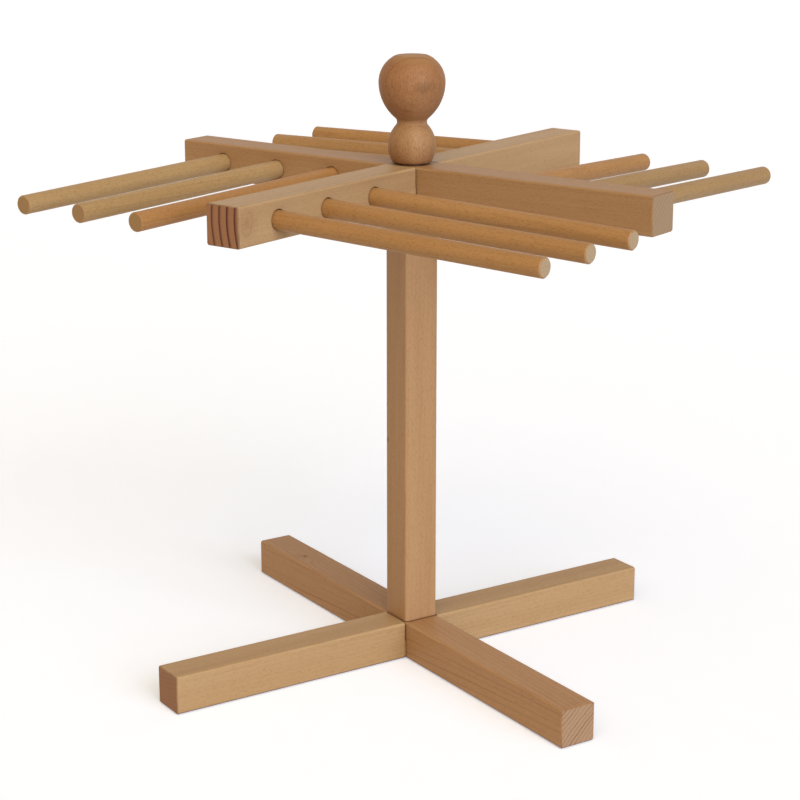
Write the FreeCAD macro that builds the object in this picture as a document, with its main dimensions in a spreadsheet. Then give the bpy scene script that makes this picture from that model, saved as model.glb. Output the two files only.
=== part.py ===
import FreeCAD, Part
import math
import os
from types import SimpleNamespace
from typing import NamedTuple

import Sketcher

# A beech rack for drying fresh pasta.  A cross of two square bars lies on the table, a square
# post stands on the crossing, and a second cross turns on top of the post.  Three round pegs
# stick out of one side of each arm of that head, like the vanes of a pinwheel, and a turned
# knob screws down over the crossing and holds the head on the post.
#
# Millimetres, +Z up, origin on the table under the centre of the post.  The head's arms lie
# along X and Y, and the base is turned a little from them, as the head was left in use.

SIZES = [
    # cell name, value, what it is
    ("base_bar_length", 374, "each bar of the base cross, end to end"),
    ("base_bar_width", 25.5, "base bar, side to side"),
    ("base_bar_height", 25.5, "base bar, table to top"),
    ("base_angle", -20.4, "base cross against the head at rest, degrees"),
    ("post_width", 25, "square post, face to face"),
    ("post_length", 286, "post, from the base to the head"),
    ("post_edge_radius", 2, "rounding of the post's four long edges"),
    ("head_bar_width", 25, "head bar, side to side"),
    ("head_bar_height", 25, "head bar, underside to top"),
    ("head_end_margin", 35.8, "arm's end beyond the axis of the outermost peg"),
    ("bar_edge_radius", 1.5, "rounding of the bars' long edges"),
    ("end_chamfer", 0.6, "bevel round the bars' and the post's ends"),
    ("lap_clearance", 0.15, "play on each side of a half-lap"),
    ("lap_chamfer", 0.5, "bevel on the shoulders of a half-lap"),
    ("peg_diameter", 12, "drying pegs"),
    ("peg_length", 205, "drying pegs, end to end"),
    ("peg_chamfer", 0.8, "bevel at a peg's ends"),
    ("peg_first", 56.6, "innermost peg from the rack's axis"),
    ("peg_pitch", 47, "peg to peg along an arm"),
    ("peg_hole_depth", 18, "blind holes in the arms"),
    ("peg_hole_height", 12.5, "hole's axis above the arm's underside"),
    ("peg_clearance", 0.4, "play round a peg that lies straight in its hole"),
    ("peg_gap_front", 0.15, "what is left of the play where the front pegs lean"),
    ("peg_gap_right", 0.06, "the same for the right arm's pegs"),
    ("peg_gap_back", 0.18, "the same for the back arm's pegs"),
    ("peg_gap_left", 0.31, "the same for the left arm's pegs"),
    ("peg_end_gap", 0.3, "peg's inner end to the bottom of its hole"),
    ("knob_foot_rounding", 1, "rounding round the knob's foot"),
    ("knob_bulb_radius", 15.5, "lower bulb at its widest"),
    ("knob_bulb_height", 10.5, "widest place of the bulb above the foot"),
    ("knob_bulb_curve", 20, "radius of the bulb's side"),
    ("knob_neck_curve", 3.3, "radius of the hollow between bulb and ball"),
    ("knob_ball_radius", 21.5, "upper ball at its widest"),
    ("knob_ball_height", 51.4, "widest place of the ball above the foot"),
    ("knob_belly_curve", 30, "radius of the ball's long lower side"),
    ("knob_crown_curve", 18.6, "radius of the ball's upper side"),
    ("knob_top_radius", 9.4, "flat top, inside its rounded edge"),
    ("knob_top_rounding", 3.5, "rounding between the crown and the flat top"),
    ("washer_radius", 9, "washer under the knob"),
    ("washer_thickness", 1, "washer under the knob"),
    ("washer_clearance", 0.3, "play of the washer round the stud"),
    ("stud_diameter", 8, "threaded stud in the knob"),
    ("stud_in_knob", 28, "stud's length inside the knob"),
    ("stud_bite", 10, "stud's length in the post's insert"),
    ("stud_chamfer", 0.8, "bevel at the stud's ends"),
    ("running_clearance", 0.1, "play round the stud in the head and the insert"),
    ("insert_radius", 6, "threaded insert in the post's top"),
    ("insert_length", 15, "threaded insert"),
    ("insert_rim_radius", 8, "rim of the insert"),
    ("insert_rim_thickness", 1.2, "rim of the insert"),
    ("insert_depth", 0.3, "rim below the post's top"),
    ("screw_diameter", 6, "screw from the base into the post"),
    ("screw_head_radius", 6.5, "countersunk head"),
    ("screw_head_rim", 0.8, "straight rim of the head"),
    ("screw_bite", 45, "screw's length in the post, point and all"),
    ("screw_point", 6, "length of the screw's point"),
    ("screw_depth", 0.6, "head below the base's underside"),
    ("screw_socket_width", 5, "hexagon socket, flat to flat"),
    ("screw_socket_depth", 3.2, "hexagon socket"),
    ("screw_clearance", 0.3, "play round the screw in the bars"),
    ("drill_margin", 2, "holes run this much deeper than what they hold"),
    ("fixed_gap", 0.02, "round pieces driven or glued into one another"),
]

FULL_TURN = 360
QUARTER_TURN = 90
DRILL_POINT_SLOPE = 0.6  # rise of a drill's point over its radius
PEG_PLACES = ("inner", "middle", "outer")
UP = FreeCAD.Vector(0, 0, 1)
TINY = 1e-6


class Size:
    """A number together with the expression that works it out from the sheet's cells."""

    def __init__(self, value, text):
        self.value = value
        self.text = text

    def __str__(self):
        return self.text

    def __add__(self, other):
        other = as_size(other)
        return Size(self.value + other.value, f"({self} + {other})")

    def __sub__(self, other):
        other = as_size(other)
        return Size(self.value - other.value, f"({self} - {other})")

    def __mul__(self, other):
        other = as_size(other)
        return Size(self.value * other.value, f"({self} * {other})")

    def __truediv__(self, other):
        other = as_size(other)
        return Size(self.value / other.value, f"({self} / {other})")

    def __neg__(self):
        return Size(-self.value, f"(-{self})")


def as_size(number):
    return number if isinstance(number, Size) else Size(number, str(number))


def fill_sheet():
    """Writes the sizes into the sheet and gives them back by name, each tied to its cell."""
    for row, (name, value, meaning) in enumerate(SIZES, start=1):
        sheet.set(f"A{row}", meaning)
        sheet.set(f"B{row}", str(value))
        sheet.setAlias(f"B{row}", name)
    doc.recompute()
    return SimpleNamespace(**{name: Size(float(sheet.get(name)), f"Sizes.{name}")
                              for name, _, _ in SIZES})


doc = FreeCAD.newDocument("pasta_drying_rack")
sheet = doc.addObject("Spreadsheet::Sheet", "Sizes")
size = fill_sheet()
bodies = []

# What follows from the sizes and is used by more than one piece.
HEAD_BOTTOM = size.base_bar_height + size.post_length
HEAD_TOP = HEAD_BOTTOM + size.head_bar_height
KNOB_FOOT = HEAD_TOP + size.washer_thickness
INSERT_TOP = HEAD_BOTTOM - size.insert_depth
STUD_RADIUS = size.stud_diameter / 2
STUD_BORE = STUD_RADIUS + size.running_clearance
SCREW_RADIUS = size.screw_diameter / 2
SCREW_HOLE = SCREW_RADIUS + size.screw_clearance


# Bodies and their places -----------------------------------------------------------------

def new_body(label):
    body = doc.addObject("PartDesign::Body", label)
    body.Label = label
    bodies.append(body)
    return body


def shifted(x=0, y=0, z=0):
    return f"placement(vector({x}; {y}; {z}); rotation(vector(0; 0; 1); 0))"


def turned(degrees, axis="0; 0; 1"):
    return f"placement(vector(0; 0; 0); rotation(vector({axis}); {degrees}))"


def place(body, *moves):
    """Ties the body's place to the moves, of which the last is made first."""
    body.setExpression("Placement", " * ".join(moves))


def origin_of(body, role):
    """One of the body's own origin planes or axes, such as XY_Plane or Z_Axis."""
    return next(item for item in body.Origin.OriginFeatures if item.Role == role)


# Sketches --------------------------------------------------------------------------------

def new_sketch(body, plane, name, offset=None):
    """A sketch on one of the body's own planes, moved along its normal by the offset."""
    sketch = body.newObject("Sketcher::SketchObject", f"{body.Label}_{name}")
    sketch.AttachmentSupport = [(origin_of(body, plane), "")]
    sketch.MapMode = "FlatFace"
    if offset:
        sketch.setExpression("AttachmentOffset.Base.z", offset.text)
    return sketch


def dimension(sketch, kind, elements, amount):
    """A driving dimension that follows the sheet."""
    index = sketch.addConstraint(Sketcher.Constraint(kind, *elements, amount.value))
    name = f"{kind}_{index}"
    sketch.renameConstraint(index, name)
    sketch.setExpression(f"Constraints.{name}", amount.text)


def place_point(sketch, element, point, x, y):
    """Holds a point of the sketch at x and y from the sketch's origin."""
    for kind, axis, amount in (("DistanceX", -2, as_size(x)), ("DistanceY", -1, as_size(y))):
        if amount.value == 0:
            sketch.addConstraint(Sketcher.Constraint("PointOnObject", element, point, axis))
        else:
            dimension(sketch, kind, (-1, 1, element, point), amount)


def add_line(sketch, start, end):
    return sketch.addGeometry(Part.LineSegment(FreeCAD.Vector(*start), FreeCAD.Vector(*end)))


def add_outline(sketch, corners):
    """A closed outline of straight sides through the corners."""
    points = [(as_size(x).value, as_size(y).value, 0) for x, y in corners]
    sides = [add_line(sketch, start, end)
             for start, end in zip(points, points[1:] + points[:1])]
    for side, before, (x, y) in zip(sides, sides[-1:] + sides[:-1], corners):
        sketch.addConstraint(Sketcher.Constraint("Coincident", before, 2, side, 1))
        place_point(sketch, side, 1, x, y)


def add_circle(sketch, x, y, radius):
    centre = FreeCAD.Vector(as_size(x).value, as_size(y).value, 0)
    index = sketch.addGeometry(Part.Circle(centre, UP, radius.value))
    place_point(sketch, index, 3, x, y)
    dimension(sketch, "Radius", (index,), radius)


# Features --------------------------------------------------------------------------------

def add_feature(body, kind, name, profile):
    feature = body.newObject(f"PartDesign::{kind}", f"{body.Label}_{name}")
    feature.Profile = profile
    return feature


def finish_cut(feature, before):
    """Rebuilds and makes sure that the cut took something away."""
    doc.recompute()
    if feature.Shape.Volume > before - TINY:
        raise RuntimeError(f"{feature.Label} cuts nothing")
    return feature


def pad(body, profile, name, length, both_ways=False):
    feature = add_feature(body, "Pad", name, profile)
    feature.Midplane = both_ways
    feature.setExpression("Length", length.text)
    doc.recompute()
    return feature


def pocket(body, profile, name, depth):
    """A cut to a depth, along the sketch's normal."""
    before = body.Tip.Shape.Volume
    feature = add_feature(body, "Pocket", name, profile)
    feature.Reversed = True
    feature.setExpression("Length", depth.text)
    return finish_cut(feature, before)


def cut_through(body, profile, name):
    """A cut through the whole body, both ways from the sketch."""
    before = body.Tip.Shape.Volume
    feature = add_feature(body, "Pocket", name, profile)
    feature.Type = "ThroughAll"
    feature.Midplane = True
    return finish_cut(feature, before)


def turn(body, kind, name, profile):
    """Turns a half outline of radius and height once round Z."""
    feature = add_feature(body, kind, name, profile)
    feature.ReferenceAxis = (profile, ["V_Axis"])
    feature.Angle = FULL_TURN
    return feature


def turn_solid(body, name, corners):
    profile = new_sketch(body, "XZ_Plane", f"{name}_profile")
    add_outline(profile, corners)
    turn(body, "Revolution", name, profile)
    doc.recompute()


def turn_hole(body, name, corners):
    profile = new_sketch(body, "XZ_Plane", f"{name}_profile")
    add_outline(profile, corners)
    before = body.Tip.Shape.Volume
    finish_cut(turn(body, "Groove", name, profile), before)


def edges_where(feature, test):
    """Names of the feature's edges that pass a test of their bounding box."""
    found = [f"Edge{number}" for number, edge in enumerate(feature.Shape.Edges, start=1)
             if test(edge.BoundBox)]
    if not found:
        raise RuntimeError(f"no such edges on {feature.Label}")
    return found


def dress(body, kind, base, name, edges, amount):
    """A fillet or a chamfer on some edges of the feature that it follows."""
    feature = body.newObject(f"PartDesign::{kind}", f"{body.Label}_{name}")
    feature.Base = (base, edges)
    feature.setExpression("Radius" if kind == "Fillet" else "Size", amount.text)
    doc.recompute()
    return feature


# Square bars -----------------------------------------------------------------------------

def square_bar(label, half_length, width, height):
    """A bar along X, its underside on the XY plane, with eased edges all round."""
    body = new_body(label)
    section = new_sketch(body, "YZ_Plane", "section")
    side = width / 2
    add_outline(section, [(-side, 0), (side, 0), (side, height), (-side, height)])
    blank = pad(body, section, "blank", half_length * 2, both_ways=True)
    along = edges_where(blank, lambda box: box.XLength > half_length.value)
    rounded = dress(body, "Fillet", blank, "rounded_edges", along, size.bar_edge_radius)
    ends = edges_where(rounded, lambda box: box.XLength < TINY)
    dress(body, "Chamfer", rounded, "eased_ends", ends, size.end_chamfer)
    return body


def half_lap(body, width, height, opens_upward):
    """The notch for the crossing bar, half as deep as the bar, with bevelled shoulders."""
    reach = width / 2 + size.lap_clearance
    floor = height / 2
    beyond = height + floor if opens_upward else -floor
    outline = new_sketch(body, "XZ_Plane", "lap_outline")
    add_outline(outline, [(-reach, floor), (reach, floor), (reach, beyond), (-reach, beyond)])
    notch = cut_through(body, outline, "lap_notch")

    def on_a_shoulder(box):
        in_its_plane = box.XLength < TINY and abs(abs(box.XMin) - reach.value) < TINY
        on_the_floor = box.ZLength < TINY and abs(box.ZMin - floor.value) < TINY
        return in_its_plane and not on_the_floor

    shoulders = edges_where(notch, on_a_shoulder)
    dress(body, "Chamfer", notch, "lap_shoulders", shoulders, size.lap_chamfer)


def centre_bore(body, radius):
    outline = new_sketch(body, "XY_Plane", "bore_outline")
    add_circle(outline, 0, 0, radius)
    cut_through(body, outline, "bore")


def countersink(body):
    """The recess for the screw's head in the bar's underside."""
    rim = size.screw_head_radius + size.screw_clearance
    shoulder = size.screw_depth + size.screw_head_rim
    end = shoulder + rim - SCREW_HOLE
    turn_hole(body, "countersink",
              [(0, 0), (rim, 0), (rim, shoulder), (SCREW_HOLE, end), (0, end)])


def base_cross():
    """The upper bar lies over the lower one; both rest on the table."""
    for label, is_lower in (("base_upper_bar", False), ("base_lower_bar", True)):
        body = square_bar(label, size.base_bar_length / 2, size.base_bar_width,
                          size.base_bar_height)
        half_lap(body, size.base_bar_width, size.base_bar_height, opens_upward=is_lower)
        centre_bore(body, SCREW_HOLE)
        if is_lower:
            countersink(body)
        place(body, turned(size.base_angle + QUARTER_TURN * is_lower))


# Head and its pegs -----------------------------------------------------------------------

def along_the_arm(index):
    """Distance of a peg from the rack's axis, counted from the innermost."""
    return size.peg_first + size.peg_pitch * index


def peg_holes(body):
    """Three blind holes in one side of one arm, and the same in the arm across from it."""
    outlines = new_sketch(body, "XZ_Plane", "peg_hole_outlines", -(size.head_bar_width / 2))
    for index in range(len(PEG_PLACES)):
        add_circle(outlines, along_the_arm(index), size.peg_hole_height,
                   size.peg_diameter / 2 + size.peg_clearance)
    one_arm = pocket(body, outlines, "peg_holes", size.peg_hole_depth)
    before = one_arm.Shape.Volume
    both_arms = body.newObject("PartDesign::PolarPattern", f"{body.Label}_both_arms")
    both_arms.Originals = [one_arm]
    both_arms.Axis = (origin_of(body, "Z_Axis"), [""])
    both_arms.Angle = FULL_TURN
    both_arms.Occurrences = 2
    body.Tip = both_arms
    finish_cut(both_arms, before)


def head_cross():
    """Two bars halved together like the base's, drilled for the pegs."""
    half_length = along_the_arm(len(PEG_PLACES) - 1) + size.head_end_margin
    for label, is_lower in (("head_upper_bar", False), ("head_lower_bar", True)):
        body = square_bar(label, half_length, size.head_bar_width, size.head_bar_height)
        half_lap(body, size.head_bar_width, size.head_bar_height, opens_upward=is_lower)
        centre_bore(body, STUD_BORE)
        peg_holes(body)
        place(body, shifted(z=HEAD_BOTTOM), turned(QUARTER_TURN * is_lower))


def peg(label, arm_turn, along, gap_left):
    """A peg in the hole at that distance along the arm that points at arm_turn degrees.

    It leans in its hole until its lower and upper side come within gap_left of the lips."""
    body = new_body(label)
    section = new_sketch(body, "YZ_Plane", "section")
    add_circle(section, 0, 0, size.peg_diameter / 2)
    rod = pad(body, section, "rod", size.peg_length)
    rims = edges_where(rod, lambda box: box.XLength < TINY)
    dress(body, "Chamfer", rod, "bevelled_ends", rims, size.peg_chamfer)

    half_depth = size.peg_hole_depth / 2
    lean = f"atan2({size.peg_clearance - gap_left}; {half_depth})"
    place(body,
          shifted(z=HEAD_BOTTOM), turned(arm_turn),
          shifted(along, size.head_bar_width / 2 - half_depth, size.peg_hole_height),
          turned(QUARTER_TURN), turned(lean, axis="0; 1; 0"),
          shifted(size.peg_end_gap - half_depth))


def pegs():
    arms = (("front", -QUARTER_TURN, size.peg_gap_front), ("right", 0, size.peg_gap_right),
            ("back", QUARTER_TURN, size.peg_gap_back), ("left", 2 * QUARTER_TURN, size.peg_gap_left))
    for arm, arm_turn, gap_left in arms:
        for index, place_name in enumerate(PEG_PLACES):
            peg(f"peg_{arm}_{place_name}", arm_turn, along_the_arm(index), gap_left)


# Post and its metal ----------------------------------------------------------------------

def post():
    body = new_body("post")
    section = new_sketch(body, "XY_Plane", "section")
    side = size.post_width / 2
    add_outline(section, [(-side, -side), (side, -side), (side, side), (-side, side)])
    blank = pad(body, section, "blank", size.post_length)
    uprights = edges_where(blank, lambda box: box.ZLength > TINY)
    rounded = dress(body, "Fillet", blank, "rounded_edges", uprights, size.post_edge_radius)
    ends = edges_where(rounded, lambda box: box.ZLength < TINY)
    dress(body, "Chamfer", rounded, "eased_ends", ends, size.end_chamfer)
    insert_seat(body)
    screw_pilot(body)
    place(body, shifted(z=size.base_bar_height), turned(size.base_angle))


def insert_seat(body):
    """Stepped hole in the post's top that the insert fills."""
    top = size.post_length
    rim = size.insert_rim_radius + size.fixed_gap
    wall = size.insert_radius + size.fixed_gap
    step = top - size.insert_depth - size.insert_rim_thickness
    bottom = top - size.insert_depth - size.insert_length - size.drill_margin
    point = bottom - wall * DRILL_POINT_SLOPE
    turn_hole(body, "insert_seat",
              [(0, point), (wall, bottom), (wall, step), (rim, step), (rim, top), (0, top)])


def screw_pilot(body):
    """Hole in the post's foot that the base screw bites into."""
    radius = SCREW_RADIUS + size.fixed_gap
    straight = size.screw_bite - size.screw_point
    end = size.screw_bite + size.drill_margin
    turn_hole(body, "screw_pilot", [(0, 0), (radius, 0), (radius, straight), (0, end)])


def post_insert():
    """Flanged insert with the thread that the knob's stud screws into."""
    body = new_body("post_insert")
    wall, rim, length = size.insert_radius, size.insert_rim_radius, size.insert_length
    step = length - size.insert_rim_thickness
    turn_solid(body, "shell", [(STUD_BORE, 0), (wall, 0), (wall, step), (rim, step),
                               (rim, length), (STUD_BORE, length)])
    place(body, shifted(z=INSERT_TOP - length))


def base_screw():
    """Countersunk screw, driven up through both base bars into the post."""
    body = new_body("base_screw")
    head, rim = size.screw_head_radius, size.screw_head_rim
    neck = rim + head - SCREW_RADIUS
    tip = size.base_bar_height - size.screw_depth + size.screw_bite
    turn_solid(body, "shank", [(0, 0), (head, 0), (head, rim), (SCREW_RADIUS, neck),
                               (SCREW_RADIUS, tip - size.screw_point), (0, tip)])
    socket = new_sketch(body, "XY_Plane", "socket_outline")
    side = size.screw_socket_width / 2
    corner = size.screw_socket_width / math.sqrt(3)
    add_outline(socket, [(corner, 0), (corner / 2, side), (-corner / 2, side),
                         (-corner, 0), (-corner / 2, -side), (corner / 2, -side)])
    pocket(body, socket, "socket", size.screw_socket_depth)
    place(body, shifted(z=size.screw_depth))


# Knob ------------------------------------------------------------------------------------

class Disc(NamedTuple):
    """A circle of the knob's outline, x from the knob's axis and y up from its foot."""
    x: float
    y: float
    radius: float

    def grown(self, amount):
        return Disc(self.x, self.y, self.radius + amount)

    def x_at(self, y):
        return self.x + math.sqrt(self.radius ** 2 - (y - self.y) ** 2)

    def y_at(self, x):
        return self.y + math.sqrt(self.radius ** 2 - (x - self.x) ** 2)

    def toward(self, other):
        """The point on the circle that lies towards another's centre."""
        apart = math.hypot(other.x - self.x, other.y - self.y)
        return (self.x + (other.x - self.x) * self.radius / apart,
                self.y + (other.y - self.y) * self.radius / apart)

    def arc(self, start, end):
        """The stretch from one point to another, anticlockwise round the centre."""
        first, last = (math.atan2(y - self.y, x - self.x) for x, y in (start, end))
        if last < first:
            last += math.tau
        circle = Part.Circle(FreeCAD.Vector(self.x, self.y, 0), UP, self.radius)
        return Part.ArcOfCircle(circle, first, last)


def bulging_disc(widest, height, curve):
    """The circle of radius curve whose outermost point is at that radius and height."""
    return Disc((widest - curve).value, height.value, curve.value)


def hollow_disc(curve, lower, upper):
    """The circle of radius curve that touches two others from outside.

    Its centre is where both circles would meet if they grew by that radius."""
    lower, upper = lower.grown(curve.value), upper.grown(curve.value)
    lean, rise = upper.x - lower.x, upper.y - lower.y
    apart = math.hypot(lean, rise)
    along = (apart ** 2 + lower.radius ** 2 - upper.radius ** 2) / (2 * apart)
    aside = math.sqrt(lower.radius ** 2 - along ** 2)
    return Disc(lower.x + (along * lean + aside * rise) / apart,
                lower.y + (along * rise - aside * lean) / apart, curve.value)


def knob_profile(body):
    """Half outline of the knob: foot, bulb, neck, belly, crown and flat top.

    The discs only say where to start drawing: the constraints hold the outline."""
    bulb = bulging_disc(size.knob_bulb_radius, size.knob_bulb_height, size.knob_bulb_curve)
    belly = bulging_disc(size.knob_ball_radius, size.knob_ball_height, size.knob_belly_curve)
    crown = bulging_disc(size.knob_ball_radius, size.knob_ball_height, size.knob_crown_curve)
    neck = hollow_disc(size.knob_neck_curve, bulb, belly)
    foot_rounding, top_rounding = size.knob_foot_rounding.value, size.knob_top_rounding.value
    foot_radius = bulb.grown(-foot_rounding).x_at(foot_rounding)
    foot_edge = Disc(foot_radius, foot_rounding, foot_rounding)
    top_radius = size.knob_top_radius.value
    top_edge = Disc(top_radius, crown.grown(-top_rounding).y_at(top_radius), top_rounding)
    top = top_edge.y + top_rounding
    widest = (size.knob_ball_radius.value, size.knob_ball_height.value)

    sketch = new_sketch(body, "XZ_Plane", "profile")
    foot_line = add_line(sketch, (0, 0), (foot_radius, 0))
    arcs = [sketch.addGeometry(disc.arc(start, end)) for disc, start, end in (
        (foot_edge, (foot_radius, 0), bulb.toward(foot_edge)),
        (bulb, bulb.toward(foot_edge), bulb.toward(neck)),
        (neck, belly.toward(neck), bulb.toward(neck)),
        (belly, belly.toward(neck), widest),
        (crown, widest, crown.toward(top_edge)),
        (top_edge, crown.toward(top_edge), (top_radius, top)))]
    foot_arc, bulb_arc, neck_arc, belly_arc, crown_arc, top_arc = arcs
    top_line = add_line(sketch, (top_radius, top), (0, top))
    axis_line = add_line(sketch, (0, top), (0, 0))

    for kind, *elements in (("Coincident", foot_line, 1, -1, 1),
                            ("Tangent", foot_line, 2, foot_arc, 1),
                            ("Tangent", foot_arc, 2, bulb_arc, 1),
                            ("Tangent", bulb_arc, 2, neck_arc, 2),
                            ("Tangent", neck_arc, 1, belly_arc, 1),
                            ("Tangent", belly_arc, 2, crown_arc, 1),
                            ("Tangent", crown_arc, 2, top_arc, 1),
                            ("Tangent", top_arc, 2, top_line, 1),
                            ("Coincident", top_line, 2, axis_line, 1),
                            ("Coincident", axis_line, 2, foot_line, 1),
                            ("Horizontal", foot_line),
                            ("Horizontal", top_line),
                            ("Vertical", axis_line)):
        sketch.addConstraint(Sketcher.Constraint(kind, *elements))
    place_point(sketch, bulb_arc, 3, size.knob_bulb_radius - size.knob_bulb_curve,
                size.knob_bulb_height)
    place_point(sketch, belly_arc, 3, size.knob_ball_radius - size.knob_belly_curve,
                size.knob_ball_height)
    dimension(sketch, "DistanceY", (-1, 1, belly_arc, 2), size.knob_ball_height)
    dimension(sketch, "DistanceX", (-1, 1, top_line, 1), size.knob_top_radius)
    for arc, curve in zip(arcs, (size.knob_foot_rounding, size.knob_bulb_curve,
                                 size.knob_neck_curve, size.knob_belly_curve,
                                 size.knob_crown_curve, size.knob_top_rounding)):
        dimension(sketch, "Radius", (arc,), curve)
    return sketch


def knob():
    """Turned finial with a blind hole for the stud."""
    body = new_body("knob")
    turn(body, "Revolution", "blank", knob_profile(body))
    doc.recompute()
    radius = STUD_RADIUS + size.fixed_gap
    depth = size.stud_in_knob + size.drill_margin
    point = depth + radius * DRILL_POINT_SLOPE
    turn_hole(body, "stud_hole", [(0, 0), (radius, 0), (radius, depth), (0, point)])
    place(body, shifted(z=KNOB_FOOT))


def knob_stud():
    """Threaded stud: glued into the knob, free in the head, screwed into the insert."""
    body = new_body("knob_stud")
    bottom = INSERT_TOP - size.stud_bite
    length = KNOB_FOOT + size.stud_in_knob - bottom
    bevel, tip = size.stud_chamfer, STUD_RADIUS - size.stud_chamfer
    turn_solid(body, "rod", [(0, 0), (tip, 0), (STUD_RADIUS, bevel),
                             (STUD_RADIUS, length - bevel), (tip, length), (0, length)])
    place(body, shifted(z=bottom))


def knob_washer():
    body = new_body("knob_washer")
    hole, rim = STUD_RADIUS + size.washer_clearance, size.washer_radius
    thickness = size.washer_thickness
    turn_solid(body, "ring", [(hole, 0), (rim, 0), (rim, thickness), (hole, thickness)])
    place(body, shifted(z=HEAD_TOP))


# Checks and files ------------------------------------------------------------------------

def check_document():
    """Stops on anything that failed to build or that the sheet doesn't hold fast."""
    failed = [item.Label for item in doc.Objects
              if "Invalid" in item.State or "Error" in item.State]
    failed += [body.Label for body in bodies
               if body.Shape.isNull() or not body.Shape.isValid()]
    failed += [item.Label for item in doc.Objects
               if item.TypeId == "Sketcher::SketchObject" and not item.FullyConstrained]
    if failed:
        raise RuntimeError(f"failed to build: {failed}")


def write_parts():
    os.makedirs("parts", exist_ok=True)
    for body in bodies:
        body.Shape.exportStep(os.path.join("parts", f"{body.Label}.step"))
        print(f"{body.Label:20s} {body.Shape.Volume / 1000:8.2f} cm3")


base_cross()
base_screw()
post()
post_insert()
head_cross()
pegs()
knob()
knob_stud()
knob_washer()
doc.recompute()
check_document()
write_parts()
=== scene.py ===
import math
from typing import NamedTuple

import bpy
from mathutils import Matrix, Vector

# A beech rack for drying pasta, in metres, +Z up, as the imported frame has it.  Every piece is a
# CAD node, so this script gives them their wood and steel and sets up floor, light and camera.

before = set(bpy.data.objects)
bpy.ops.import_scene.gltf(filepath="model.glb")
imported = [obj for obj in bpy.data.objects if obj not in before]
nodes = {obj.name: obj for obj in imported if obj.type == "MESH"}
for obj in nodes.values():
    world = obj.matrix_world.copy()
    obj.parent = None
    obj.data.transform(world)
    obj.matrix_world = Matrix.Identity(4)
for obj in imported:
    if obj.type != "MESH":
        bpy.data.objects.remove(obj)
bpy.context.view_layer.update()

X, Y, UP = Vector((1, 0, 0)), Vector((0, 1, 0)), Vector((0, 0, 1))

# The camera of the photograph: it looks from the front right, a little from above.
CAMERA_AZIMUTH = math.radians(36.5)
CAMERA_ELEVATION = math.radians(15.64)
CAMERA_DISTANCE = 1.4217
AIM_HEIGHT = 0.1774
AIM_TO_THE_RIGHT = -0.0077
SENSOR_WIDTH = 36.0
LENS = 95.93

# The floor lies just under the base.  It glows only where it is seen, so that it looks white.
FLOOR_SIZE = 40.0
FLOOR_DEPTH = 0.0005
FLOOR_PATTERN = (40, 40, 40)
FLOOR_TONES = (0.80, 0.82, 0.87, 1), (0.83, 0.85, 0.90, 1)
FLOOR_GLOW = 0.29
FLOOR_GLOW_COLOUR = (0.92, 1.0, 1.15, 1)
FLOOR_ROUGHNESS = 0.9
FLOOR_SPECULAR = 0.1

# The sky's light on the rack, and its look.
AMBIENT = (0.30, 0.255, 0.205, 1)
WHITE = (1, 1, 1, 1)


# Node trees --------------------------------------------------------------------------------

class Shader:
    """Short calls for the nodes of a new material or world."""

    def __init__(self, owner):
        owner.use_nodes = True
        self.owner = owner
        self.tree = owner.node_tree
        self.tree.nodes.clear()

    def add(self, kind, inputs=(), **settings):
        """A node whose inputs, by name or in turn, are numbers or other nodes' outputs."""
        node = self.tree.nodes.new(f"ShaderNode{kind}")
        for name, value in settings.items():
            setattr(node, name, value)
        pairs = inputs.items() if isinstance(inputs, dict) else enumerate(inputs)
        for key, value in pairs:
            if isinstance(value, bpy.types.NodeSocket):
                self.tree.links.new(value, node.inputs[key])
            else:
                node.inputs[key].default_value = value
        return node

    def number(self, operation, *values):
        return self.add("Math", values, operation=operation).outputs[0]

    def product(self, first, *others):
        for value in others:
            first = self.number("MULTIPLY", first, value)
        return first

    def vector(self, operation, *values):
        return self.add("VectorMath", values, operation=operation).outputs[0]

    def split(self, vector):
        return self.add("SeparateXYZ", [vector]).outputs

    def length(self, vector):
        return self.add("VectorMath", [vector], operation="LENGTH").outputs["Value"]

    def noise(self, vector, density, detail=2.0):
        """Soft noise between 0 and 1, with about this many features a metre along each axis."""
        inputs = {"Vector": self.vector("MULTIPLY", vector, density), "Scale": 1.0,
                  "Detail": detail, "Roughness": 0.5}
        return self.add("TexNoise", inputs).outputs[0]

    def step(self, value, low, high):
        """0 below low and 1 above high, with a smooth rise between; downwards if low > high."""
        node = self.add("MapRange", {"Value": value, "From Min": low, "From Max": high},
                        interpolation_type="SMOOTHSTEP")
        return node.outputs[0]

    def mix(self, amount, first, second, blend="MIX"):
        node = self.add("Mix", {0: amount, 6: first, 7: second},
                        data_type="RGBA", blend_type=blend)
        return node.outputs[2]

    def bump(self, height, distance, strength):
        inputs = {"Height": height, "Distance": distance, "Strength": strength}
        return self.add("Bump", inputs).outputs[0]

    def seen_plainly(self):
        """1 for rays that come from the camera, from a mirror or through glass."""
        path = self.add("LightPath").outputs
        mirrored = self.number("MAXIMUM", path["Is Glossy Ray"], path["Is Transmission Ray"])
        return self.number("MAXIMUM", path["Is Camera Ray"], mirrored)

    def finish(self, **inputs):
        """The surface itself; names of its inputs have _ for a space."""
        named = {name.replace("_", " "): value for name, value in inputs.items()}
        surface = self.add("BsdfPrincipled", named).outputs[0]
        self.add("OutputMaterial", {"Surface": surface})
        return self.owner


def tone(red, green, blue):
    """A colour from its 0 to 255 screen values."""
    def linear(value):
        value /= 255
        return value / 12.92 if value <= 0.04045 else ((value + 0.055) / 1.055) ** 2.4
    return (linear(red), linear(green), linear(blue), 1.0)


# What a piece of beech is like -------------------------------------------------------------

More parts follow.
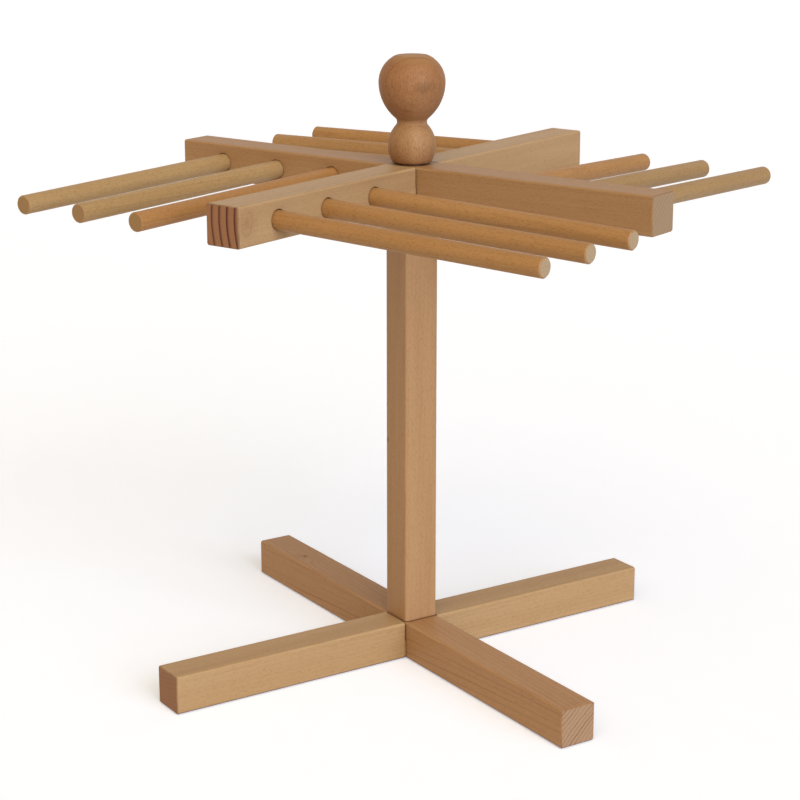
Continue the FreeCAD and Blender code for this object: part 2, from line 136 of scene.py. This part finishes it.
class Lie(NamedTuple):
    """A piece's centre, and the turn from its own axes, of which the first is its grain."""
    centre: Vector
    turn: Matrix

    @classmethod
    def of(cls, name, grain, across):
        axes = Matrix((grain, across, grain.cross(across)))
        points = [axes @ vertex.co for vertex in nodes[name].data.vertices]
        middle = [(min(values) + max(values)) / 2 for values in zip(*points)]
        return cls(axes.transposed() @ Vector(middle), axes.transposed())


class Tones(NamedTuple):
    """Colours of a piece of beech."""
    pale: tuple      # between the streaks; also the pale long edges, partly wear and partly painted highlight
    deep: tuple      # in the streaks
    ring: tuple      # dark edge of a growth ring on the long faces
    ray: tuple       # short flecks
    end: tuple       # end grain between the rings
    end_ring: tuple  # rings on the end grain; also the dark rims round the ends and the painted shade where pieces meet

    def stained(self, *stain):
        """The same tones with their red, green and blue light multiplied by these."""
        stain += (1.0,)
        return Tones(*(tuple(a * b for a, b in zip(colour, stain)) for colour in self))


class Mark(NamedTuple):
    """A place where the rings swell out, as over a knot, or the wood has another tint."""
    place: tuple                       # in the piece's own axes, from its centre
    size: tuple                        # its reach along each of them
    swell: float = 0.0                 # rings by which they move out
    stain: tuple = (1.0, 1.0, 1.0)     # what its red, green and blue light is multiplied by


class Cut(NamedTuple):
    """How a piece was sawn: where its growth rings have their centre and how they run."""
    pith_angle: float      # degrees in its section, from its second axis to its third
    pith_distance: float   # from its centre
    ring_gap: float
    run_out: tuple = (0.0, 0.0)   # degrees by which the rings lean from its length
    wander: float = 0.003         # and how far they stray from their curve
    ring_start: float = 0.3       # share of a ring before its dark edge begins
    ring_variety: float = 0.7     # how much some rings are fainter than others
    ring_strength: float = 0.3
    end_ring_strength: float = 0.5
    streak_strength: float = 0.8
    ray_from: float = 0.54        # the lower, the more rays
    ray_strength: float = 0.3
    rubbed_highlit_edges: float = 0.0     # how pale the long edges are made: partly wear from handling, partly a painted highlight on their rounding
    dark_end_rims: float = 0.0       # how much darker the edges round the ends are made
    dirt: float = 0.75            # how dark the painted shade is where it meets another piece
    marks: tuple = ()
    seed: float = 0.0


# How many features a metre the patterns of beech have, along the grain and twice across it.
RING_WANDER = (5, 40, 40)
RING_PATCHES = (9, 120, 120)
BROAD_STREAKS = (4, 70, 70)
NARROW_STREAKS = (18, 420, 420)
FIBRES = (90, 2000, 2000)
RAYS = (420, 2300, 2300)
WEAR = (60, 60, 60)

# How each metre of seed moves the patterns along the piece's axes.
SEED_SHIFT = (1.0, 0.7, 0.4)

# Shares of a ring: where its dark edge is darkest, and where it has ended.
RING_DARKEST = 0.9
RING_BREAK = (1.0, 0.93)

# Between which values of their noise these patterns come in.
PATCHES_SHOW = (0.25, 0.7)
BROAD_STREAKS_SHOW = (0.3, 0.7)
WEAR_SHOWS = (0.25, 0.6)
RAY_SOFTNESS = 0.14

# Shares in the streaks, and in the height of the grain.
BROAD_SHARE, NARROW_SHARE, FIBRE_SHARE = 0.4, 0.35, 0.25
FIBRE_HEIGHT, RAY_HEIGHT = 0.6, 0.4
GRAIN_DEPTH = 0.00006
GRAIN_BUMP = 0.5
END_RAY_STRENGTH = 0.25

# How far a face looks along the grain, from 0 on a side to 1 on an end: where end grain comes
# in, and between which values lies the rounded edge round an end.
END_GRAIN = (0.6, 0.9)
END_EDGE_BEGINS = (0.3, 0.6)
END_EDGE_STOPS = (0.98, 0.8)

# How far a face looks along whichever axis is nearest: less than 1 on the rounded edges.
LONG_EDGE = (0.985, 0.8)

# Painted shade comes in where less than the first share of the sky is open within its reach, and
# is full below the second.
CREVICE_SHADE = (0.78, 0.35)
SHADE_REACH = 0.004
SHADE_SAMPLES = 8

GLOSS_SPREAD = 0.16
BEECH_IOR = 1.45
BEECH_SPECULAR = 0.22


class Beech(Shader):
    """The shader of one piece, worked out in its own axes, so that it moves with the piece."""

    def __init__(self, name, lie, cut):
        super().__init__(bpy.data.materials.new(name))
        self.cut = cut
        turn = tuple(lie.turn.to_euler())
        rest = self.add("TexCoord").outputs
        self.place = self.add("Mapping", {"Vector": rest["Object"], "Location": lie.centre,
                                          "Rotation": turn}, vector_type="TEXTURE").outputs[0]
        facing = self.add("Mapping", {"Vector": rest["Normal"], "Rotation": turn},
                          vector_type="TEXTURE").outputs[0]
        self.sides = self.split(self.vector("ABSOLUTE", facing))
        self.shifted = self.vector("ADD", self.place,
                                   tuple(cut.seed * share for share in SEED_SHIFT))
        self.nearness = [self.near(mark) for mark in cut.marks]

    def near(self, mark):
        """1 in the middle of the mark, 0 beyond its reach."""
        apart = self.vector("DIVIDE", self.vector("SUBTRACT", self.place, mark.place), mark.size)
        return self.step(self.length(apart), 1.0, 0.0)

    def pattern(self, density, detail=2):
        return self.noise(self.shifted, density, detail)

    def distance_from_pith(self):
        angle = math.radians(self.cut.pith_angle)
        pith = Vector((0, math.cos(angle), math.sin(angle))) * self.cut.pith_distance
        lean = tuple(math.radians(degrees) for degrees in (0, *self.cut.run_out))
        growth = self.add("Mapping", {"Vector": self.place, "Location": -pith,
                                      "Rotation": lean}, vector_type="POINT").outputs[0]
        return self.length(self.vector("MULTIPLY", growth, (0, 1, 1)))

    def rings(self):
        """Dark edges of the rings: each darkens outwards and ends abruptly, some more faintly."""
        cut = self.cut
        strayed = self.number("MULTIPLY_ADD", self.pattern(RING_WANDER), cut.wander,
                              self.distance_from_pith())
        years = self.number("DIVIDE", strayed, cut.ring_gap)
        for mark, near in zip(cut.marks, self.nearness):
            years = self.number("MULTIPLY_ADD", near, mark.swell, years)
        season = self.number("FRACT", years)
        good_year = self.add("TexWhiteNoise", {"W": self.number("FLOOR", years)},
                             noise_dimensions="1D").outputs["Value"]
        vigour = self.number("MULTIPLY_ADD", good_year, cut.ring_variety, 1 - cut.ring_variety)
        return self.product(self.step(season, cut.ring_start, RING_DARKEST),
                            self.step(season, *RING_BREAK), vigour)

    def streaks(self, fibres):
        """Soft streaks along the grain, broad, narrow and as fine as fibres."""
        broad = self.step(self.pattern(BROAD_STREAKS, detail=3), *BROAD_STREAKS_SHOW)
        narrow = self.pattern(NARROW_STREAKS, detail=3)
        fine = self.number("ADD", self.product(narrow, NARROW_SHARE),
                           self.product(fibres, FIBRE_SHARE))
        return self.number("ADD", self.product(broad, BROAD_SHARE), fine)

    def with_wear_highlight_and_shade(self, colour, tones):
        """Patchy pale long edges, partly wear and partly painted highlight; patchy dark rims
        round the ends; and painted shade where pieces meet.
        """
        cut, sides = self.cut, self.sides
        worn = self.step(self.pattern(WEAR, detail=3), *WEAR_SHOWS)
        # Painted highlight mixed with wear: the rounded long edges are made paler in patches.
        if cut.rubbed_highlit_edges:
            flattest = self.number("MAXIMUM", sides[0],
                                   self.number("MAXIMUM", sides[1], sides[2]))
            rubbed_highlit = self.product(self.step(flattest, *LONG_EDGE), worn, cut.rubbed_highlit_edges)
            colour = self.mix(rubbed_highlit, colour, tones.pale)
        if cut.dark_end_rims:
            round_the_end = self.product(self.step(sides[0], *END_EDGE_BEGINS),
                                         self.step(sides[0], *END_EDGE_STOPS))
            dark_rim = self.product(round_the_end, worn, cut.dark_end_rims)
            colour = self.mix(dark_rim, colour, tones.end_ring)
        # Painted shade: the colour darkens towards the end-ring tone where another piece closes
        # in the surface.
        open_sky = self.add("AmbientOcclusion", {"Distance": SHADE_REACH},
                            samples=SHADE_SAMPLES).outputs["AO"]
        dirt = self.product(self.step(open_sky, *CREVICE_SHADE), cut.dirt)
        return self.mix(dirt, colour, tones.end_ring)


def wood(name, lie, cut, tones, roughness):
    """Beech with rings, marks, streaks, rays, end grain, edges partly worn and partly painted
    highlight, and painted shade where pieces meet.
    """
    beech = Beech(name, lie, cut)
    rings = beech.rings()
    patchy = beech.step(beech.pattern(RING_PATCHES), *PATCHES_SHOW)
    fibres = beech.pattern(FIBRES)
    rays = beech.step(beech.pattern(RAYS, detail=1), cut.ray_from, cut.ray_from + RAY_SOFTNESS)

    face = beech.mix(beech.product(beech.streaks(fibres), cut.streak_strength),
                     tones.pale, tones.deep)
    face = beech.mix(beech.product(rings, patchy, cut.ring_strength), face, tones.ring)
    face = beech.mix(beech.product(rays, cut.ray_strength), face, tones.ray)
    for mark, near in zip(cut.marks, beech.nearness):
        face = beech.mix(near, face, (*mark.stain, 1.0), blend="MULTIPLY")

    end = beech.mix(beech.product(rings, cut.end_ring_strength), tones.end, tones.end_ring)
    end = beech.mix(beech.product(rays, END_RAY_STRENGTH), end, tones.end_ring)
    colour = beech.mix(beech.step(beech.sides[0], *END_GRAIN), face, end)

    height = beech.number("SUBTRACT", beech.product(fibres, FIBRE_HEIGHT),
                          beech.product(rays, RAY_HEIGHT))
    gloss = beech.number("MULTIPLY_ADD", fibres, GLOSS_SPREAD, roughness - GLOSS_SPREAD / 2)
    return beech.finish(Base_Color=beech.with_wear_highlight_and_shade(colour, tones), Roughness=gloss,
                        IOR=BEECH_IOR, Specular_IOR_Level=BEECH_SPECULAR,
                        Normal=beech.bump(height, GRAIN_DEPTH, GRAIN_BUMP))


# Steel -------------------------------------------------------------------------------------

# Features a metre, depths, and how strongly they show.
TURNING_MARKS = (300, 300, 9000)
TURNING_DEPTH = 0.00002
TURNING_BUMP = 0.5
THREAD_BUMP = 0.8
BLOTCHES = (350, 350, 350)
BLOTCHES_SHOW = (0.3, 0.7)
STEEL_ROUGHNESS = 0.3
BLOTCH_ROUGHNESS = 0.14


def steel(name, dull, bright, thread_pitch=0.0):
    """Plated steel with turning marks, or with a thread wound round the Z axis."""
    shader = Shader(bpy.data.materials.new(name))
    place = shader.add("TexCoord").outputs["Object"]
    if thread_pitch:
        x, y, z = shader.split(place)
        turns = shader.number("DIVIDE", shader.number("ARCTAN2", y, x), math.tau)
        pitches = shader.number("DIVIDE", z, thread_pitch)
        rise = shader.number("FRACT", shader.number("SUBTRACT", pitches, turns))
        ridge = shader.number("PINGPONG", rise, 0.5)
        normal = shader.bump(ridge, thread_pitch, THREAD_BUMP)
    else:
        normal = shader.bump(shader.noise(place, TURNING_MARKS), TURNING_DEPTH, TURNING_BUMP)
    blotch = shader.step(shader.noise(place, BLOTCHES, detail=3), *BLOTCHES_SHOW)
    gloss = shader.number("MULTIPLY_ADD", blotch, BLOTCH_ROUGHNESS, STEEL_ROUGHNESS)
    return shader.finish(Base_Color=shader.mix(blotch, dull, bright), Metallic=1.0,
                         Roughness=gloss, Normal=normal)


# The pieces --------------------------------------------------------------------------------

TAN = Tones(pale=tone(181, 149, 109), deep=tone(160, 125, 84), ring=tone(140, 99, 59),
            ray=tone(131, 91, 53), end=tone(173, 145, 112), end_ring=tone(124, 89, 59))
ROSY = Tones(pale=tone(176, 144, 104), deep=tone(152, 118, 80), ring=tone(130, 88, 54),
             ray=tone(128, 90, 58), end=tone(144, 99, 67), end_ring=tone(66, 26, 12))
PEG = Tones(pale=tone(170, 127, 79), deep=tone(146, 102, 55), ring=tone(126, 83, 43),
            ray=tone(120, 78, 38), end=tone(165, 142, 111), end_ring=tone(138, 100, 64))
KNOB = Tones(pale=tone(164, 120, 80), deep=tone(136, 90, 54), ring=tone(116, 70, 40),
             ray=tone(106, 60, 32), end=tone(156, 114, 72), end_ring=tone(124, 80, 46))
ZINC = tone(176, 178, 182), tone(206, 206, 204)
# Dark brown steel for the washer, painted this dark so that it reads as the shadow line under the
# knob's foot.
SHADOW_DARK_STEEL = tone(84, 64, 50), tone(108, 86, 68)

# Every bar has these; its own pith, rings and seed take the place of some of them.
BAR = Cut(pith_angle=0, pith_distance=0, ring_gap=0.003, rubbed_highlit_edges=0.5, dark_end_rims=0.55)

BASE_ANGLE = math.radians(-20.4)
BASE_ALONG = Vector((math.cos(BASE_ANGLE), math.sin(BASE_ANGLE), 0))
BASE_ACROSS = UP.cross(BASE_ALONG)

ARM_TURNS = {"front": -90, "right": 0, "back": 90, "left": 180}
PEG_PLACES = ("inner", "middle", "outer")
UNSTAINED = (1.0, 1.0, 1.0)
PEG_STAINS = {"peg_left_outer": (1.04, 1.27, 1.55), "peg_left_middle": (1.04, 1.27, 1.55),
              "peg_left_inner": (1.0, 0.95, 0.88), "peg_right_outer": (0.9, 1.08, 1.3),
              "peg_right_middle": (0.9, 1.08, 1.3), "peg_back_middle": (1.04, 1.14, 1.3)}
BROWN_ENDS = {"peg_left_inner", "peg_left_middle", "peg_left_outer", "peg_back_inner"}
BROWN_END = tone(144, 110, 69)

# From one peg to the next the pith turns and the pattern shifts; outwards it gets farther off.
PEG_PITH_TURN = 47
PEG_PITH_DISTANCE = 0.04
PEG_PITH_STEP = 0.006
PEG_SEED = 30
PEG_SEED_STEP = 2.3

STUD_THREAD_PITCH = 0.00125


def paint(name, material):
    for slot in nodes[name].material_slots:
        slot.material = material


def paint_wood(name, grain, across, cut, tones, roughness=0.5):
    paint(name, wood(name, Lie.of(name, grain, across), cut, tones, roughness))


def paint_head_bars():
    paint_wood("head_upper_bar", X, Y,
               BAR._replace(pith_angle=-45, pith_distance=0.09, run_out=(0.4, 0.8),
                            ring_start=0.7, seed=3.1),
               TAN.stained(0.80, 0.70, 0.63)._replace(end=tone(150, 124, 95)))
    oval = Mark(place=(-0.1793, -0.0125, 0.0026), size=(0.0078, 0.009, 0.0115), swell=1.6)
    blush = Mark(place=(-0.1785, -0.0125, 0.0016), size=(0.015, 0.01, 0.0135),
                 stain=(0.87, 0.79, 0.78))
    paint_wood("head_lower_bar", Y, -X,
               BAR._replace(pith_angle=176, pith_distance=0.07, ring_gap=0.0058,
                            run_out=(0.3, 1.2), wander=0.001, ring_start=0.5,
                            ring_variety=0.25, ring_strength=0.28, end_ring_strength=1.0,
                            # Less painted shade where this bar meets the others.
                            dirt=0.45, marks=(oval, blush), seed=7.7), ROSY)


def paint_base_bars():
    knot = (-0.139, -0.002, 0.0128)
    swirl = Mark(place=knot, size=(0.022, 0.008, 0.01), swell=1.6)
    speck = Mark(place=knot, size=(0.004, 0.0022, 0.004), stain=(0.45, 0.36, 0.32))
    paint_wood("base_upper_bar", BASE_ALONG, BASE_ACROSS,
               BAR._replace(pith_angle=-45, pith_distance=0.13, ring_gap=0.0028,
                            run_out=(1.0, 2.0), wander=0.006, ring_start=0.6,
                            ring_variety=0.85, ring_strength=0.75, end_ring_strength=1.0,
                            marks=(swirl, speck), seed=12.3),
               TAN.stained(0.92, 0.80, 0.76)._replace(end=tone(158, 128, 98),
                                                      end_ring=tone(104, 62, 42)))
    paint_wood("base_lower_bar", BASE_ACROSS, -BASE_ALONG,
               BAR._replace(pith_angle=80, pith_distance=0.1, run_out=(0.5, 0.6),
                            ring_strength=0.2, end_ring_strength=0.25, seed=17.9),
               TAN.stained(0.96, 0.95, 0.94)._replace(end=tone(140, 94, 56),
                                                      end_ring=tone(104, 66, 38)))


def paint_post():
    speck = Mark(place=(-0.019, -0.0096, -0.0125), size=(0.0028, 0.0014, 0.003),
                 stain=(0.4, 0.3, 0.26))
    paint_wood("post", UP, BASE_ALONG,
               BAR._replace(pith_angle=60, pith_distance=0.08, ring_gap=0.0034,
                            run_out=(2.4, 1.6), wander=0.005, ring_start=0.5,
                            ring_strength=0.2, marks=(speck,), seed=23.1),
               TAN.stained(0.92, 0.83, 0.8))


def paint_pegs():
    for arm_number, (arm, degrees) in enumerate(ARM_TURNS.items()):
        arm_turn = math.radians(degrees)
        outward = Vector((math.cos(arm_turn), math.sin(arm_turn), 0))
        for place_number, place in enumerate(PEG_PLACES):
            number = arm_number * len(PEG_PLACES) + place_number
            name = f"peg_{arm}_{place}"
            tones = PEG.stained(*PEG_STAINS.get(name, UNSTAINED))
            tones = tones._replace(end=BROWN_END if name in BROWN_ENDS else PEG.end)
            cut = Cut(pith_angle=PEG_PITH_TURN * number,
                      pith_distance=PEG_PITH_DISTANCE + PEG_PITH_STEP * place_number,
                      ring_gap=0.0026, run_out=(0.8, 1.1), ring_start=0.5,
                      end_ring_strength=0.25, ray_strength=0.45, dark_end_rims=0.15,
                      seed=PEG_SEED + PEG_SEED_STEP * number)
            paint_wood(name, UP.cross(outward), -outward, cut, tones)


def paint_knob():
    # The knob's lower part is made paler and yellower.
    pale_foot = Mark(place=(-0.019, 0, 0), size=(0.024, 0.03, 0.03), stain=(1.3, 1.65, 1.8))
    smudge = Mark(place=(0.0160, 0.0184, -0.0114), size=(0.006, 0.009, 0.009),
                  stain=(0.72, 0.74, 0.72))
    paint_wood("knob", UP, X,
               Cut(pith_angle=136, pith_distance=0.05, ring_gap=0.0034, run_out=(3.0, 5.0),
                   wander=0.006, ring_start=0.4, ring_strength=0.4, streak_strength=1.0,
                   ray_from=0.48, ray_strength=0.4, dark_end_rims=0.15,
                   marks=(pale_foot, smudge), seed=71.3),
               KNOB, roughness=0.55)


def paint_metal():
    paint("knob_stud", steel("stud_steel", *ZINC, STUD_THREAD_PITCH))
    paint("base_screw", steel("screw_steel", *ZINC))
    paint("post_insert", steel("insert_steel", *ZINC))
    # Painted shadow: the washer is made dark to stand for the shade under the knob's foot.
    paint("knob_washer", steel("washer_shadow_dark_steel", *SHADOW_DARK_STEEL))


# Floor, light and camera -------------------------------------------------------------------

def add_floor():
    bpy.ops.mesh.primitive_plane_add(size=FLOOR_SIZE, location=(0, 0, -FLOOR_DEPTH))
    floor = bpy.context.object
    floor.name = "floor"
    shader = Shader(bpy.data.materials.new("floor"))
    speckle = shader.noise(shader.add("TexCoord").outputs["Object"], FLOOR_PATTERN)
    glow = shader.product(shader.seen_plainly(), FLOOR_GLOW)
    floor.data.materials.append(
        shader.finish(Base_Color=shader.mix(speckle, *FLOOR_TONES), Roughness=FLOOR_ROUGHNESS,
                      Emission_Color=FLOOR_GLOW_COLOUR, Emission_Strength=glow,
                      Specular_IOR_Level=FLOOR_SPECULAR))


def direction(azimuth, elevation):
    """Where something is seen from the rack: azimuth 0 is the front and 90 degrees the right."""
    return Vector((math.sin(azimuth) * math.cos(elevation),
                   -math.cos(azimuth) * math.cos(elevation), math.sin(elevation)))


def add_facing_back(name, data, source):
    """An object that looks from that direction towards the rack."""
    thing = bpy.data.objects.new(name, data)
    thing.rotation_euler = (-source).to_track_quat("-Z", "Y").to_euler()
    bpy.context.collection.objects.link(thing)
    return thing


def add_sun(name, azimuth, elevation, strength, spread, colour):
    """A broad distant lamp."""
    data = bpy.data.lights.new(name, "SUN")
    data.energy = strength
    data.angle = math.radians(spread)
    data.color = colour
    add_facing_back(name, data, direction(math.radians(azimuth), math.radians(elevation)))


def add_world():
    shader = Shader(bpy.data.worlds.new("studio"))
    bpy.context.scene.world = shader.owner
    sky = shader.mix(shader.seen_plainly(), AMBIENT, WHITE)
    background = shader.add("Background", {"Color": sky, "Strength": 1.0}).outputs[0]
    shader.add("OutputWorld", {"Surface": background})


def add_camera():
    data = bpy.data.cameras.new("camera")
    data.sensor_width = SENSOR_WIDTH
    data.lens = LENS
    toward = direction(CAMERA_AZIMUTH, CAMERA_ELEVATION)
    right = Vector((math.cos(CAMERA_AZIMUTH), math.sin(CAMERA_AZIMUTH), 0))
    aim = UP * AIM_HEIGHT + right * AIM_TO_THE_RIGHT
    camera = add_facing_back("camera", data, toward)
    camera.location = aim + toward * CAMERA_DISTANCE
    bpy.context.scene.camera = camera


paint_head_bars()
paint_base_bars()
paint_post()
paint_pegs()
paint_knob()
paint_metal()
add_floor()
add_sun("key", azimuth=72, elevation=22, strength=2.0, spread=45, colour=(0.86, 1.0, 1.28))
add_sun("window", azimuth=35, elevation=45, strength=1.45, spread=60, colour=(1.16, 1.0, 0.66))
add_sun("fill", azimuth=-50, elevation=25, strength=0.25, spread=70, colour=(1.3, 1.0, 0.6))
add_world()
add_camera()
bpy.context.scene.view_settings.view_transform = "Standard"
